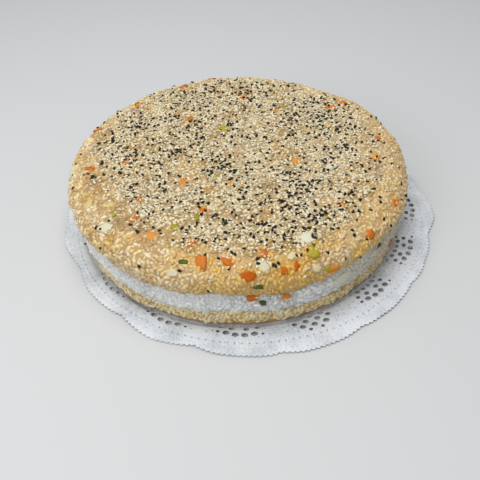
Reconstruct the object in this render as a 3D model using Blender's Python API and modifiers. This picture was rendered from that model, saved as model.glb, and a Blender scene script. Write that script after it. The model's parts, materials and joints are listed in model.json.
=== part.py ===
"""Sushi cake: two pressed layers of seasoned rice with plain rice between them, on a paper lace doily.

The seasoned top layer carries diced vegetables, proud rice grains and sesame seeds.
Metres, +Z up. The origin is the middle of the doily, on the surface that it lies on.
"""

import math
import random

import bpy
import bmesh
from mathutils import Euler, Matrix, Vector, noise
from mathutils.bvhtree import BVHTree

MM = 0.001
GAP = 0.3 * MM                      # kept between touching solids

# The cake's own centre lies a little to the left of the doily's.
CAKE_CENTRE = Vector((-11.5 * MM, 0.0, 0.0))

CAKE_RADIUS = 145.0 * MM            # widest, round the top layer's side
BASE_RADIUS = 136.5 * MM
MIDDLE_RADIUS = 139.5 * MM
BASE_HEIGHT = 16.0 * MM
MIDDLE_HEIGHT = 20.5 * MM
TOP_HEIGHT = 29.0 * MM

RIM_REACH = 22.0 * MM               # how far in from the side the top's round shoulder starts
RIM_DROP = 17.0 * MM                # how far the shoulder falls
TOP_UNDERCUT = 2.5 * MM             # the top layer's lower edge is this much narrower than its side
LAYER_CORNER = 2.0 * MM             # how far a lower layer's edges are rounded in
BASE_BULGE = 1.2 * MM
MIDDLE_BULGE = 1.8 * MM
LAYER_FACES_ROUND = 88
TOP_FACES_KEPT = 0.62               # of the 5,120 that a ball divided five times has

DOILY_RADIUS = 164.0 * MM
DOILY_THICKNESS = 0.6 * MM
DOILY_LOBES = 16
LOBE_DEPTH = 2.2 * MM
TEETH_PER_LOBE = 6
TOOTH_DEPTH = 1.0 * MM
HOLE_ROWS = ((130.0 * MM, 3), (140.0 * MM, 2))
HOLE_PITCH = 9.5 * MM
HOLE_ACROSS = 5.2 * MM

RICE_GRAIN = Vector((6.8, 2.9, 2.6)) * MM
SESAME_SEED = Vector((3.6, 2.3, 1.7)) * MM
CARROT_DICE = Vector((8.2, 7.0, 6.0)) * MM
GREEN_PIECE = Vector((8.5, 4.0, 3.6)) * MM
ONION_PIECE = Vector((10.5, 8.0, 3.6)) * MM
PIECE_ROOM = 11.5 * MM              # least distance between the middles of vegetable pieces
GRAIN_ROOM = 9.0 * MM
SEED_ROOM = 7.5 * MM
TOP_SIDE_GRAINS = 32
MIDDLE_GRAINS = 20
BASE_GRAINS = 17
TOP_SEEDS = 64
SEED_MARGIN = 9.0 * MM              # the rim's width that stays almost bare of seeds

SEASONED_RICE = (0.66, 0.47, 0.25, 1.0)
PLAIN_RICE = (0.82, 0.83, 0.78, 1.0)
PAPER = (0.86, 0.88, 0.92, 1.0)

GOLDEN_ANGLE = math.pi * (3.0 - math.sqrt(5.0))


def clear_scene():
    for old in list(bpy.data.objects):
        bpy.data.objects.remove(old, do_unlink=True)


def new_collection(name):
    collection = bpy.data.collections.new(name)
    bpy.context.scene.collection.children.link(collection)
    return collection


def material(name, colour, roughness):
    made = bpy.data.materials.new(name)
    made.use_nodes = True
    shader = made.node_tree.nodes["Principled BSDF"]
    shader.inputs["Base Color"].default_value = colour
    shader.inputs["Roughness"].default_value = roughness
    shader.inputs["Metallic"].default_value = 0.0
    made.diffuse_color = colour
    return made


def new_object(name, data, collection, finish=None):
    made = bpy.data.objects.new(name, data)
    collection.objects.link(made)
    if finish is not None:
        made.data.materials.append(finish)
    return made


def bake_modifiers(item):
    """Replaces an object's mesh with its evaluated one and drops the modifiers."""
    graph = bpy.context.evaluated_depsgraph_get()
    graph.update()
    baked = bpy.data.meshes.new_from_object(item.evaluated_get(graph))
    item.modifiers.clear()
    item.data = baked


def uneven(angle, height, seed):
    """How far hand-pressed rice stands proud of a true circle, from slow and from grain-sized bumps."""
    around = Vector((math.cos(angle), math.sin(angle), 0.0))
    slow = noise.noise(around * 1.6 + Vector((0.0, 0.0, height * 12.0 + seed)))
    grain = noise.noise(around * 24.0 + Vector((seed, 0.0, height * 190.0)))
    return 1.8 * MM * slow + 1.5 * MM * grain


# The two lower layers are turned bodies. Only their sides are uneven, so the faces that meet stay flat.

def turned_outline(radius, low, high, bulge):
    """The outer side of a flat rice layer, from its top middle, down the side, to its bottom middle."""
    rows = 3
    points = [(0.0, high), (radius - LAYER_CORNER, high)]
    for row in range(rows + 1):
        share = row / rows
        height = (high - LAYER_CORNER) * (1.0 - share) + (low + 0.6 * LAYER_CORNER) * share
        points.append((radius + bulge * math.sin(math.pi * share), height))
    points += [(radius - LAYER_CORNER, low), (0.0, low)]
    return points


def turned_layer(name, radius, low, high, bulge, seed, finish, collection):
    outline = turned_outline(radius, low, high, bulge)
    mesh = bpy.data.meshes.new(name)
    mesh.from_pydata([(r, 0.0, z) for r, z in outline], [(i, i + 1) for i in range(len(outline) - 1)], [])
    layer = new_object(name, mesh, collection, finish)
    screw = layer.modifiers.new("Turn", "SCREW")
    screw.axis = "Z"
    screw.steps = screw.render_steps = LAYER_FACES_ROUND
    screw.use_merge_vertices = True
    screw.merge_threshold = 0.0001
    bake_modifiers(layer)
    for vertex in layer.data.vertices:
        out = Vector((vertex.co.x, vertex.co.y))
        if out.length > radius - 3.0 * MM:
            angle = math.atan2(out.y, out.x)
            out *= 1.0 + uneven(angle, vertex.co.z, seed) / out.length
            vertex.co.x, vertex.co.y = out
    layer.data.transform(Matrix.Translation(CAKE_CENTRE))
    return layer


# The top layer is a ball wrapped over the layer's outline, so its faces are even over top, shoulder and side.

def top_outline(low):
    """The top layer's outline from its top middle to its bottom middle, as radius and height."""
    high = low + TOP_HEIGHT
    steps = 8
    points = [(0.0, high), (CAKE_RADIUS - RIM_REACH, high)]
    for step in range(1, steps + 1):
        turn = 0.5 * math.pi * step / steps
        radius = CAKE_RADIUS - RIM_REACH * (1.0 - math.sin(turn))
        points.append((radius, high - RIM_DROP * (1.0 - math.cos(turn))))
    points.append((CAKE_RADIUS - TOP_UNDERCUT, low + 1.5 * MM))
    points.append((CAKE_RADIUS - TOP_UNDERCUT - 2.0 * MM, low))
    points.append((0.0, low))
    return points


def area_marks(outline, last_weight):
    """The share of the turned surface's area before each point. The last stretch counts for less."""
    marks = [0.0]
    for index in range(1, len(outline)):
        (r0, z0), (r1, z1) = outline[index - 1], outline[index]
        area = (r0 + r1) * math.hypot(r1 - r0, z1 - z0)
        if index == len(outline) - 1:
            area *= last_weight
        marks.append(marks[-1] + area)
    return [mark / marks[-1] for mark in marks]


def on_outline(outline, marks, share):
    """The point of the outline that has the given share of the area before it."""
    for index in range(1, len(marks)):
        if share <= marks[index] or index == len(marks) - 1:
            along = (share - marks[index - 1]) / max(marks[index] - marks[index - 1], 1e-9)
            (r0, z0), (r1, z1) = outline[index - 1], outline[index]
            if r0 == 0.0 or r1 == 0.0:
                along = math.sqrt(max(along, 0.0)) if r0 == 0.0 else 1.0 - math.sqrt(max(1.0 - along, 0.0))
            return r0 + (r1 - r0) * along, z0 + (z1 - z0) * along


def top_relief(point, low):
    """Grain-sized bumps and slow unevenness of the top layer. The flat underside keeps none."""
    above = min(max((point.z - low) / (4.0 * MM), 0.0), 1.0)
    grains = noise.noise(point * 150.0)
    patches = noise.noise(point * 34.0 + Vector((7.0, 3.0, 1.0)))
    return above * (1.3 * MM * grains + 1.3 * MM * patches)


def top_layer(name, low, finish, collection):
    outline = top_outline(low)
    marks = area_marks(outline, 0.06)
    shape = bmesh.new()
    bmesh.ops.create_icosphere(shape, subdivisions=5, radius=1.0)
    for vertex in shape.verts:
        share = 0.5 * (1.0 - vertex.co.z)
        angle = math.atan2(vertex.co.y, vertex.co.x)
        radius, height = on_outline(outline, marks, share)
        vertex.co = Vector((radius * math.cos(angle), radius * math.sin(angle), height))
    shape.normal_update()
    for vertex in shape.verts:
        if vertex.co.z > low + 0.5 * MM:
            rim = (vertex.co.xy.length / CAKE_RADIUS) ** 6
            slow = 1.4 * MM * rim * noise.noise(Vector((vertex.co.x, vertex.co.y, 0.0)) * 11.0)
            vertex.co += vertex.normal * (top_relief(vertex.co, low) + slow)
            vertex.co.z = max(vertex.co.z, low + 1.0 * MM)
    mesh = bpy.data.meshes.new(name)
    shape.to_mesh(mesh)
    shape.free()
    layer = new_object(name, mesh, collection, finish)
    thin = layer.modifiers.new("Fewer faces", "DECIMATE")
    thin.ratio = TOP_FACES_KEPT
    bake_modifiers(layer)
    for vertex in layer.data.vertices:
        if vertex.co.z < low + 0.6 * MM:
            vertex.co.z = low
    layer.data.transform(Matrix.Translation(CAKE_CENTRE))
    return layer


# Small pieces that are fused on: rice grains, sesame seeds and diced vegetables.

def grain_shape(name, size, taper):
    """A rice grain or a sesame seed: a twenty-sided ball drawn out, and thinner towards one end."""
    shape = bmesh.new()
    bmesh.ops.create_icosphere(shape, subdivisions=1, radius=0.5)
    for vertex in shape.verts:
        slim = 1.0 - taper * (vertex.co.x + 0.5)
        vertex.co = Vector((vertex.co.x * size.x, vertex.co.y * size.y * slim, vertex.co.z * size.z * slim))
    mesh = bpy.data.meshes.new(name)
    shape.to_mesh(mesh)
    shape.free()
    return mesh


def dice_shape(name, size, skew):
    """A knife-cut piece of vegetable: a box whose one end is cut narrower and aslant."""
    shape = bmesh.new()
    bmesh.ops.create_cube(shape, size=1.0)
    for vertex in shape.verts:
        far = vertex.co.x > 0.0
        side = 1.0 - skew if far else 1.0
        vertex.co = Vector((vertex.co.x * size.x, vertex.co.y * size.y * side, vertex.co.z * size.z * side))
    mesh = bpy.data.meshes.new(name)
    shape.to_mesh(mesh)
    shape.free()
    return mesh


def surface_finder(layer):
    graph = bpy.context.evaluated_depsgraph_get()
    return BVHTree.FromObject(layer, graph)


def place_on(tree, guide, outward, mesh, turn, sink, tilt, pieces):
    """Sets a piece on the surface that a ray finds from outside, turned about the surface's normal."""
    hit, normal, _, _ = tree.ray_cast(guide + outward * 0.05, -outward)
    if hit is None:
        return None
    facing = (normal + outward * 2.0).normalized().to_track_quat("Z", "X").to_matrix().to_4x4()
    spin = Euler((tilt, tilt * 0.7, turn)).to_matrix().to_4x4()
    item = bpy.data.objects.new(mesh.name, mesh)
    item.matrix_world = Matrix.Translation(hit - normal * sink) @ facing @ spin
    pieces.objects.link(item)
    return hit


def join_pieces(layer, pieces):
    """One Boolean union of the layer with everything laid on it, applied, and the pieces removed."""
    union = layer.modifiers.new("Fuse", "BOOLEAN")
    union.operation = "UNION"
    union.operand_type = "COLLECTION"
    union.collection = pieces
    union.solver = "MANIFOLD"
    bake_modifiers(layer)
    for item in list(pieces.objects):
        bpy.data.objects.remove(item, do_unlink=True)
    bpy.data.collections.remove(pieces)


def keep_largest_body(layer):
    """Drops any loose scrap that fusing leaves beside the layer's own body."""
    shape = bmesh.new()
    shape.from_mesh(layer.data)
    unseen = set(shape.verts)
    bodies = []
    while unseen:
        stack = [unseen.pop()]
        body = set(stack)
        while stack:
            for edge in stack.pop().link_edges:
                for vertex in edge.verts:
                    if vertex not in body:
                        body.add(vertex)
                        stack.append(vertex)
        unseen -= body
        bodies.append(body)
    largest = max(bodies, key=len)
    bmesh.ops.delete(shape, geom=[v for v in shape.verts if v not in largest], context="VERTS")
    shape.to_mesh(layer.data)
    shape.free()


def side_guide(angle, radius, height):
    outward = Vector((math.cos(angle), math.sin(angle), 0.0))
    return CAKE_CENTRE + outward * radius + Vector((0.0, 0.0, height)), outward


def shoulder_guide(angle, radius, low):
    """A point over the top, or on the shoulder where the radius is past its start, and the way out there."""
    past = min(max((radius - CAKE_RADIUS + RIM_REACH) / RIM_REACH, 0.0), 1.0)
    lean = math.asin(past) * 0.9
    outward = Vector((math.cos(angle) * math.sin(lean), math.sin(angle) * math.sin(lean), math.cos(lean)))
    height = low + TOP_HEIGHT - RIM_DROP * (1.0 - math.sqrt(1.0 - past * past))
    flat = Vector((math.cos(angle), math.sin(angle), 0.0))
    return CAKE_CENTRE + flat * radius + Vector((0.0, 0.0, height)), outward


def side_grains(tree, count, low, high, draw, pieces, taken):
    """Proud rice grains, spread evenly round the side in rows that step by the golden angle."""
    grain = grain_shape("grain", RICE_GRAIN, 0.15)
    room = RICE_GRAIN.x * 0.5
    for index in range(count):
        angle = index * GOLDEN_ANGLE + draw.uniform(-0.03, 0.03)
        height = low + room + (high - low - 2.0 * room) * ((index * 0.618034) % 1.0)
        guide, outward = side_guide(angle, CAKE_RADIUS, height)
        if any((guide - other).length < GRAIN_ROOM for other in taken):
            continue
        if place_on(tree, guide, outward, grain, draw.uniform(0.0, math.pi), 0.1 * MM, 0.12, pieces):
            taken.append(guide)


# The large dice that show from the front: angle round the cake in degrees, distance from its middle in mm.
CARROTS = ((-106, 137), (-95, 138), (-88, 143), (-112, 124), (-130, 118), (-80, 126), (-71, 138), (-66, 137),
           (-115, 82), (-140, 92), (-28, 142), (-12, 138), (-38, 140), (4, 113), (45, 52), (-30, 92))
GREENS = ((-97, 98), (-118, 93), (-152, 118), (-120, 106), (-56, 120), (-50, 135), (-114, 136), (40, 122))
ONIONS = ((-62, 108), (-150, 128), (-78, 139), (-168, 131))


def vegetable_places(draw, places, extra, least):
    """The hand-chosen places, then more round the back by a seeded draw, each clear of the others."""
    found = [(math.radians(angle), radius * MM) for angle, radius in places]
    while len(found) < len(places) + extra:
        angle = draw.uniform(math.radians(15), math.radians(195))
        radius = CAKE_RADIUS * math.sqrt(draw.uniform(0.02, 0.93))
        spot = Vector((math.cos(angle), math.sin(angle))) * radius
        others = (Vector((math.cos(a), math.sin(a))) * r for a, r in found)
        if all((spot - other).length > least for other in others):
            found.append((angle, radius))
    return found


def dress_top(layer, low):
    """Fuses dice, then proud grains, then sesame seeds onto the top layer, the largest first."""
    draw = random.Random(11)
    tree = surface_finder(layer)
    pieces = new_collection("laid on the top layer")
    taken = []
    kinds = (
        (dice_shape("carrot", CARROT_DICE, 0.2), vegetable_places(draw, CARROTS, 9, 20.0 * MM), 1.2 * MM),
        (dice_shape("green", GREEN_PIECE, 0.35), vegetable_places(draw, GREENS, 4, 30.0 * MM), 0.6 * MM),
        (dice_shape("onion", ONION_PIECE, 0.25), vegetable_places(draw, ONIONS, 2, 40.0 * MM), 0.5 * MM),
    )
    for mesh, places, sink in kinds:
        for angle, radius in places:
            guide, outward = shoulder_guide(angle, min(radius, CAKE_RADIUS * 0.99), low)
            if any((guide - other).length < PIECE_ROOM for other in taken):
                continue
            if place_on(tree, guide, outward, mesh, draw.uniform(0.0, math.pi), sink, 0.1, pieces):
                taken.append(guide)
    shoulder = low + TOP_HEIGHT - 0.7 * RIM_DROP
    side_grains(tree, TOP_SIDE_GRAINS, low + 1.5 * MM, shoulder, draw, pieces, taken)
    seed = grain_shape("seed", SESAME_SEED, 0.45)
    for index in range(TOP_SEEDS):
        radius = (CAKE_RADIUS - SEED_MARGIN) * math.sqrt((index + 0.5) / TOP_SEEDS)
        guide, outward = shoulder_guide(index * GOLDEN_ANGLE, radius, low)
        if any((guide - other).length < SEED_ROOM for other in taken):
            continue
        place_on(tree, guide, outward, seed, draw.uniform(0.0, 2.0 * math.pi), 0.0, 0.1, pieces)
    join_pieces(layer, pieces)
    keep_largest_body(layer)


def dress_side(layer, low, high, count, seed):
    """Fuses proud rice grains round the side of a lower layer."""
    draw = random.Random(seed)
    tree = surface_finder(layer)
    pieces = new_collection("laid on " + layer.name)
    side_grains(tree, count, low + 0.2 * MM, high - 0.2 * MM, draw, pieces, [])
    join_pieces(layer, pieces)
    keep_largest_body(layer)


# The doily is a flat cut-out of paper with a scalloped edge and punched holes.

def doily_edge():
    """The edge: large lobes, each with small round teeth."""
    teeth = DOILY_LOBES * TEETH_PER_LOBE
    points_per_tooth = 2
    count = teeth * points_per_tooth
    points = []
    for index in range(count):
        angle = 2.0 * math.pi * index / count
        lobe = LOBE_DEPTH * abs(math.cos(0.5 * DOILY_LOBES * angle)) ** 0.8
        tooth = TOOTH_DEPTH * (index % points_per_tooth)
        radius = DOILY_RADIUS - LOBE_DEPTH - TOOTH_DEPTH + lobe + tooth
        points.append((radius * math.cos(angle), radius * math.sin(angle)))
    return points


def diamond(radius, angle):
    """One punched hole, a diamond with its long way across the radius."""
    half = 0.5 * HOLE_ACROSS
    corners = ((-0.8 * half, 0.0), (0.0, half), (0.8 * half, 0.0), (0.0, -half))
    turned = []
    for out, across in corners:
        x, y = radius + out, across
        turned.append((x * math.cos(angle) - y * math.sin(angle), x * math.sin(angle) + y * math.cos(angle)))
    return turned


def doily_holes():
    for lobe in range(DOILY_LOBES):
        middle = 2.0 * math.pi * lobe / DOILY_LOBES
        for radius, count in HOLE_ROWS:
            for place in range(count):
                yield diamond(radius, middle + (place - 0.5 * (count - 1)) * HOLE_PITCH / radius)


def make_doily(finish, collection):
    curve = bpy.data.curves.new("doily outline", "CURVE")
    curve.dimensions = "2D"
    curve.fill_mode = "BOTH"
    curve.extrude = 0.5 * DOILY_THICKNESS
    for points in [doily_edge(), *doily_holes()]:
        spline = curve.splines.new("POLY")
        spline.points.add(len(points) - 1)
        spline.use_cyclic_u = True
        for point, (x, y) in zip(spline.points, points):
            point.co = (x, y, 0.0, 1.0)
    outline = new_object("doily outline", curve, collection)
    graph = bpy.context.evaluated_depsgraph_get()
    mesh = bpy.data.meshes.new_from_object(outline.evaluated_get(graph))
    bpy.data.objects.remove(outline, do_unlink=True)
    shape = bmesh.new()
    shape.from_mesh(mesh)
    bmesh.ops.remove_doubles(shape, verts=shape.verts, dist=0.01 * MM)
    shape.to_mesh(mesh)
    shape.free()
    mesh.transform(Matrix.Translation((0.0, 0.0, 0.5 * DOILY_THICKNESS)))
    return new_object("doily", mesh, collection, finish)


def build():
    clear_scene()
    cake = new_collection("sushi cake")
    seasoned = material("seasoned rice", SEASONED_RICE, 0.45)
    plain = material("plain rice", PLAIN_RICE, 0.4)
    paper = material("doily paper", PAPER, 0.85)

    base_low = DOILY_THICKNESS + GAP
    base_high = base_low + BASE_HEIGHT
    middle_low = base_high + GAP
    middle_high = middle_low + MIDDLE_HEIGHT
    top_low = middle_high + GAP

    make_doily(paper, cake)
    base = turned_layer("rice_base", BASE_RADIUS, base_low, base_high, BASE_BULGE, 3.0, seasoned, cake)
    dress_side(base, base_low, base_high, BASE_GRAINS, 21)
    middle = turned_layer("rice_middle", MIDDLE_RADIUS, middle_low, middle_high, MIDDLE_BULGE, 8.0,
                          plain, cake)
    dress_side(middle, middle_low, middle_high, MIDDLE_GRAINS, 22)
    top = top_layer("rice_top", top_low, seasoned, cake)
    dress_top(top, top_low)


build()
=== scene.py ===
"""A sushi cake, dressed for the camera.

Three round layers of pressed rice lie on a paper lace doily. The top is strewn with sesame.
"""

import json
import math
import random

import bmesh
import bpy
from mathutils import Matrix, Quaternion, Vector, noise
from mathutils.bvhtree import BVHTree

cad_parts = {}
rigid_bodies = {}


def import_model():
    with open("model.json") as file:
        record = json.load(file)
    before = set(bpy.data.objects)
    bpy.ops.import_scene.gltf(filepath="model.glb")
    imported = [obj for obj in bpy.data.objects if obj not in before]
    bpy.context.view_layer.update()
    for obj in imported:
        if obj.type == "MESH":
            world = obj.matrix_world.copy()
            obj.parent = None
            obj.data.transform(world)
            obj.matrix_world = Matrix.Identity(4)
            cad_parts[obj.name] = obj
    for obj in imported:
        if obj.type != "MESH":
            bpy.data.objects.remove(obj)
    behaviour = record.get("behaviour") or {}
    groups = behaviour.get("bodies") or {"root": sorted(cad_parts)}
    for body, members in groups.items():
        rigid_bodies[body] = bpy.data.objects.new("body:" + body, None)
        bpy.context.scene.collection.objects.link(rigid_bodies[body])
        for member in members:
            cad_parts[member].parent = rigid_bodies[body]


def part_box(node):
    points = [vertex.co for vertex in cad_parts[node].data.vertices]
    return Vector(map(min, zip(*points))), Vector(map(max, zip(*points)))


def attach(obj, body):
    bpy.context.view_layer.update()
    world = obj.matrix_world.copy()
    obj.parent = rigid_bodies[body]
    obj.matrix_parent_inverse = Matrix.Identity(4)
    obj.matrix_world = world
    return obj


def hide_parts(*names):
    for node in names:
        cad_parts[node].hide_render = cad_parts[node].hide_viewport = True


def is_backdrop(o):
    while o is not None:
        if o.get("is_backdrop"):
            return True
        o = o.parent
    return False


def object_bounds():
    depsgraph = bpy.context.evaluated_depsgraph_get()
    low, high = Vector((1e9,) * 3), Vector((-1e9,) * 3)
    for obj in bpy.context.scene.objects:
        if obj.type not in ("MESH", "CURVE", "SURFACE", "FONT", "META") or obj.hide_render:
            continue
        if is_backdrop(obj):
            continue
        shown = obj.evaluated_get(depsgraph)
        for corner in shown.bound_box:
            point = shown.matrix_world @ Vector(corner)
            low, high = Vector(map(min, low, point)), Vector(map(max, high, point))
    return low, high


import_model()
cad_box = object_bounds()


# The camera stands in front of the cake and looks down on it at about forty degrees. The lens is an
# ordinary one, but close by, so the front of the cake is larger than its back. The frame is 480 pixels wide.

MM = 0.001
FRAME_SIDE = 480.0
LENS_PIXELS = 695.0
LENS_AXIS_X = 236.5
LENS_AXIS_Y = 211.5
SENSOR_WIDTH = 36.0
CAMERA_DISTANCE = 640.0 * MM
CAMERA_ANGLE = math.radians(40.7)
CAMERA_ROLL = math.radians(-2.14)
NEAREST_SEEN = 0.02

cake_middle = Vector((-11.5 * MM, 0.0, 0.0))
away = Vector((0.0, -math.cos(CAMERA_ANGLE), math.sin(CAMERA_ANGLE)))
level = Vector((1.0, 0.0, 0.0))
upright = level.cross(-away)
camera_right = math.cos(CAMERA_ROLL) * level + math.sin(CAMERA_ROLL) * upright
camera_up = math.cos(CAMERA_ROLL) * upright - math.sin(CAMERA_ROLL) * level
camera_place = cake_middle + away * CAMERA_DISTANCE


def pixel_ray(across, down):
    """The direction in which the camera sees a pixel of the frame."""
    ray = -away
    ray = ray + camera_right * (across - LENS_AXIS_X) / LENS_PIXELS
    ray = ray - camera_up * (down - LENS_AXIS_Y) / LENS_PIXELS
    return ray.normalized()


def link(item):
    bpy.context.scene.collection.objects.link(item)
    return item


camera_data = bpy.data.cameras.new("camera")
camera_data.sensor_fit = "HORIZONTAL"
camera_data.sensor_width = SENSOR_WIDTH
camera_data.lens = LENS_PIXELS / FRAME_SIDE * SENSOR_WIDTH
camera_data.shift_x = (0.5 * FRAME_SIDE - LENS_AXIS_X) / FRAME_SIDE
camera_data.shift_y = (LENS_AXIS_Y - 0.5 * FRAME_SIDE) / FRAME_SIDE
camera_data.clip_start = NEAREST_SEEN
camera = link(bpy.data.objects.new("camera", camera_data))
camera_turn = Matrix((camera_right, camera_up, away)).transposed().to_4x4()
camera.matrix_world = Matrix.Translation(camera_place) @ camera_turn
bpy.context.scene.camera = camera
bpy.context.scene.view_settings.view_transform = "Standard"


# The studio has a plain pale floor and soft light: a wide panel overhead, a little to the left, a weaker one
# in front on the left, and pale walls all round.

FLOOR_SIDE = 4.0
FLOOR_DROP = 0.15 * MM
FLOOR_ROUGHNESS = 0.8
FLOOR_COLOUR = (0.56, 0.57, 0.58, 1.0)
ROOM_COLOUR = (0.96, 0.98, 1.0, 1.0)
ROOM_STRENGTH = 0.43
PANELS = (
    ("overhead panel", (-0.12, 0.0, 1.10), 0.80, 9.2, (1.0, 0.99, 0.97)),
    ("front panel", (-0.60, -0.80, 0.72), 0.60, 4.3, (1.0, 0.99, 0.98)),
)


def mesh_from(shape, name, smooth=True):
    """A plain mesh from a shape that is ready."""
    mesh = bpy.data.meshes.new(name)
    shape.to_mesh(mesh)
    shape.free()
    if smooth:
        mesh.shade_smooth()
    return mesh


def new_finish(name, **values):
    """A material with one Principled shader whose steady values are set on its own sockets."""
    made = bpy.data.materials.new(name)
    made.use_nodes = True
    shader = made.node_tree.nodes["Principled BSDF"]
    for socket, value in values.items():
        shader.inputs[socket.replace("_", " ")].default_value = value
    return made, made.node_tree, shader


floor_shape = bmesh.new()
bmesh.ops.create_grid(floor_shape, x_segments=1, y_segments=1, size=0.5 * FLOOR_SIDE)
bmesh.ops.translate(floor_shape, vec=(0.0, 0.0, -FLOOR_DROP), verts=floor_shape.verts)
floor = link(bpy.data.objects.new("floor", mesh_from(floor_shape, "floor", smooth=False)))
floor_paint = new_finish("floor paint", Base_Color=FLOOR_COLOUR, Roughness=FLOOR_ROUGHNESS)[0]
floor.data.materials.append(floor_paint)
floor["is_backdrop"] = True

room = bpy.data.worlds.new("room")
room.use_nodes = True
room.node_tree.nodes["Background"].inputs["Color"].default_value = ROOM_COLOUR
room.node_tree.nodes["Background"].inputs["Strength"].default_value = ROOM_STRENGTH
bpy.context.scene.world = room

for panel_name, panel_place, panel_side, panel_power, panel_colour in PANELS:
    panel_data = bpy.data.lights.new(panel_name, "AREA")
    panel_data.shape = "SQUARE"
    panel_data.size = panel_side
    panel_data.energy = panel_power
    panel_data.color = panel_colour
    panel = link(bpy.data.objects.new(panel_name, panel_data))
    panel.location = panel_place
    panel.rotation_euler = (cake_middle - Vector(panel_place)).to_track_quat("-Z", "Y").to_euler()


# The doily is one round of thin white paper. A press cuts its toothed lobes and punches the lace, sixteen
# ovals or lattices of diamond holes with pin holes about them, and embosses fine ribs outside a crease.

PAPER_THICKNESS = 0.25 * MM
LOBE_DEPTH = 3.4 * MM
HALF_LOBE = 11.6
TEETH = 256
TOOTH_DEPTH = 1.5 * MM
POINTS_PER_TOOTH = 4
EDGE_WEAR = 0.9 * MM
PAPER_RINGS = (1.0, 60.0, 120.0, 133.0, 136.0, 138.0, 140.0, 143.0, 147.0, 150.0, 153.0, 157.0)
CREASE = 151.5 * MM
WEIGHED_DOWN = 135.5 * MM
BASE_CREPT = (0.5 * MM, -2.0 * MM)
EDGE_LIFT = 4.0 * MM
LIFTS_WITHIN = 2.5 * MM
SETTLING = (149.0 * MM, 162.0 * MM)
SETTLED_SHARE = 0.68
LIFT_EVEN = 0.8
LIFT_UNEVEN = 0.6
LIFT_SCALE = 20.0
RIB_HEIGHT = 0.05 * MM
WIDER = 5.0 * MM
LACE_RADIUS = 141.0 * MM
LACE_HOLE = (4.6 * MM, 5.7 * MM)
LACE_HOLE_SIDES = 6
LATTICE_EVERY = 4
PIN_HOLE = 1.05 * MM
PIN_ROOM = 1.4 * MM
PUNCH_DEPTH = 0.01
PIN_ROUND_LACE = ((20.5 * MM, 13.0 * MM), (25.0 * MM, 17.5 * MM))
PIN_PITCH = 5.6 * MM
PIN_RING = 155.0 * MM
PINS_ROUND = 176
PAPER_COLOUR = (0.69, 0.72, 0.755, 1.0)
PAPER_SHADE = (0.45, 0.485, 0.525, 1.0)

# The middles of the lobes, in degrees round the paper, which has crept a little askew under the cake.
LOBE_MIDDLES = (-188.4, -166.5, -143.0, -119.0, -95.4, -71.5, -48.6, -26.0,
                -3.7, 18.3, 40.2, 62.1, 84.0, 105.9, 127.8, 149.7)

# How far out the lobes reach: degrees round the paper, then millimetres.
LOBE_REACH = (
    (-180, 168.0), (-170, 168.0), (-157, 163.3), (-145, 164.3), (-131, 164.3), (-120, 166.1), (-108, 164.4),
    (-96, 166.2), (-85, 167.9), (-60, 166.8), (-47, 164.8), (-36, 165.2), (-26, 163.6), (-16, 164.0),
    (-5, 167.6), (8, 164.6), (45, 164.0), (90, 165.0), (140, 165.0))

# One oval of lace, and a full lattice: degrees off the lobe's middle, millimetres out, and the hole's share.
LACE_OVAL = (
    (-6.6, 134.6, 0.5), (-3.9, 136.2, 0.9), (-1.3, 136.8, 0.85), (1.2, 136.8, 0.85), (3.7, 136.3, 0.9),
    (6.0, 134.4, 0.5), (-5.6, 140.9, 0.75), (-2.2, 142.1, 0.9), (2.4, 142.1, 0.9), (5.8, 140.5, 0.75),
    (-6.1, 146.2, 0.6), (-3.6, 146.7, 1.05), (-0.8, 148.0, 1.05), (2.0, 148.0, 1.05), (4.9, 146.7, 1.05),
    (7.4, 147.0, 0.45))
LACE_LATTICE = (
    (-7.1, 133.5, 0.9), (-3.0, 132.6, 0.95), (1.0, 132.6, 0.95), (5.2, 132.6, 0.95), (-4.8, 137.8, 0.95),
    (-0.6, 137.2, 0.8), (3.3, 137.0, 0.95), (-6.5, 142.6, 0.8), (-2.7, 141.9, 0.95), (1.3, 141.4, 0.95),
    (5.1, 141.0, 0.85), (-4.3, 146.5, 1.0), (-0.5, 146.3, 1.0), (3.4, 146.0, 1.0), (-2.3, 150.2, 0.6),
    (1.5, 150.0, 0.6))


class Wire:
    """A socket in a node tree. Sums written with it add the Math nodes that work them out."""

    def __init__(self, tree, socket):
        self.tree = tree
        self.socket = socket

    def __add__(self, other):
        return maths("ADD", self, other)

    def __radd__(self, other):
        return maths("ADD", other, self)

    def __sub__(self, other):
        return maths("SUBTRACT", self, other)

    def __rsub__(self, other):
        return maths("SUBTRACT", other, self)

    def __mul__(self, other):
        return maths("MULTIPLY", self, other)

    def __rmul__(self, other):
        return maths("MULTIPLY", other, self)

    def __pow__(self, other):
        return maths("POWER", self, other)


def maths(operation, *values):
    tree = [value.tree for value in values if isinstance(value, Wire)][0]
    return add_node(tree, "ShaderNodeMath", {"operation": operation}, dict(enumerate(values)))


def add_node(tree, kind, settings, sockets, output=0):
    """Adds a node: its settings first, then a value or a link for each named or numbered socket."""
    node = tree.nodes.new(kind)
    for name, value in settings.items():
        setattr(node, name, value)
    for key, value in sockets.items():
        if isinstance(value, Wire):
            tree.links.new(value.socket, node.inputs[key])
        else:
            node.inputs[key].default_value = value
    return Wire(tree, node.outputs[output])


def step_between(wire, low, high):
    """Nought below low, one above high, and a smooth rise between them."""
    settings = {"interpolation_type": "SMOOTHSTEP"}
    return add_node(wire.tree, "ShaderNodeMapRange", settings, {0: wire, 1: low, 2: high, 3: 0.0, 4: 1.0})


def mix_colours(factor, first, second):
    return add_node(factor.tree, "ShaderNodeMix", {"data_type": "RGBA"}, {0: factor, 6: first, 7: second}, 2)


def feed(tree, wire, node, socket):
    tree.links.new(wire.socket, node.inputs[socket])


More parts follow.
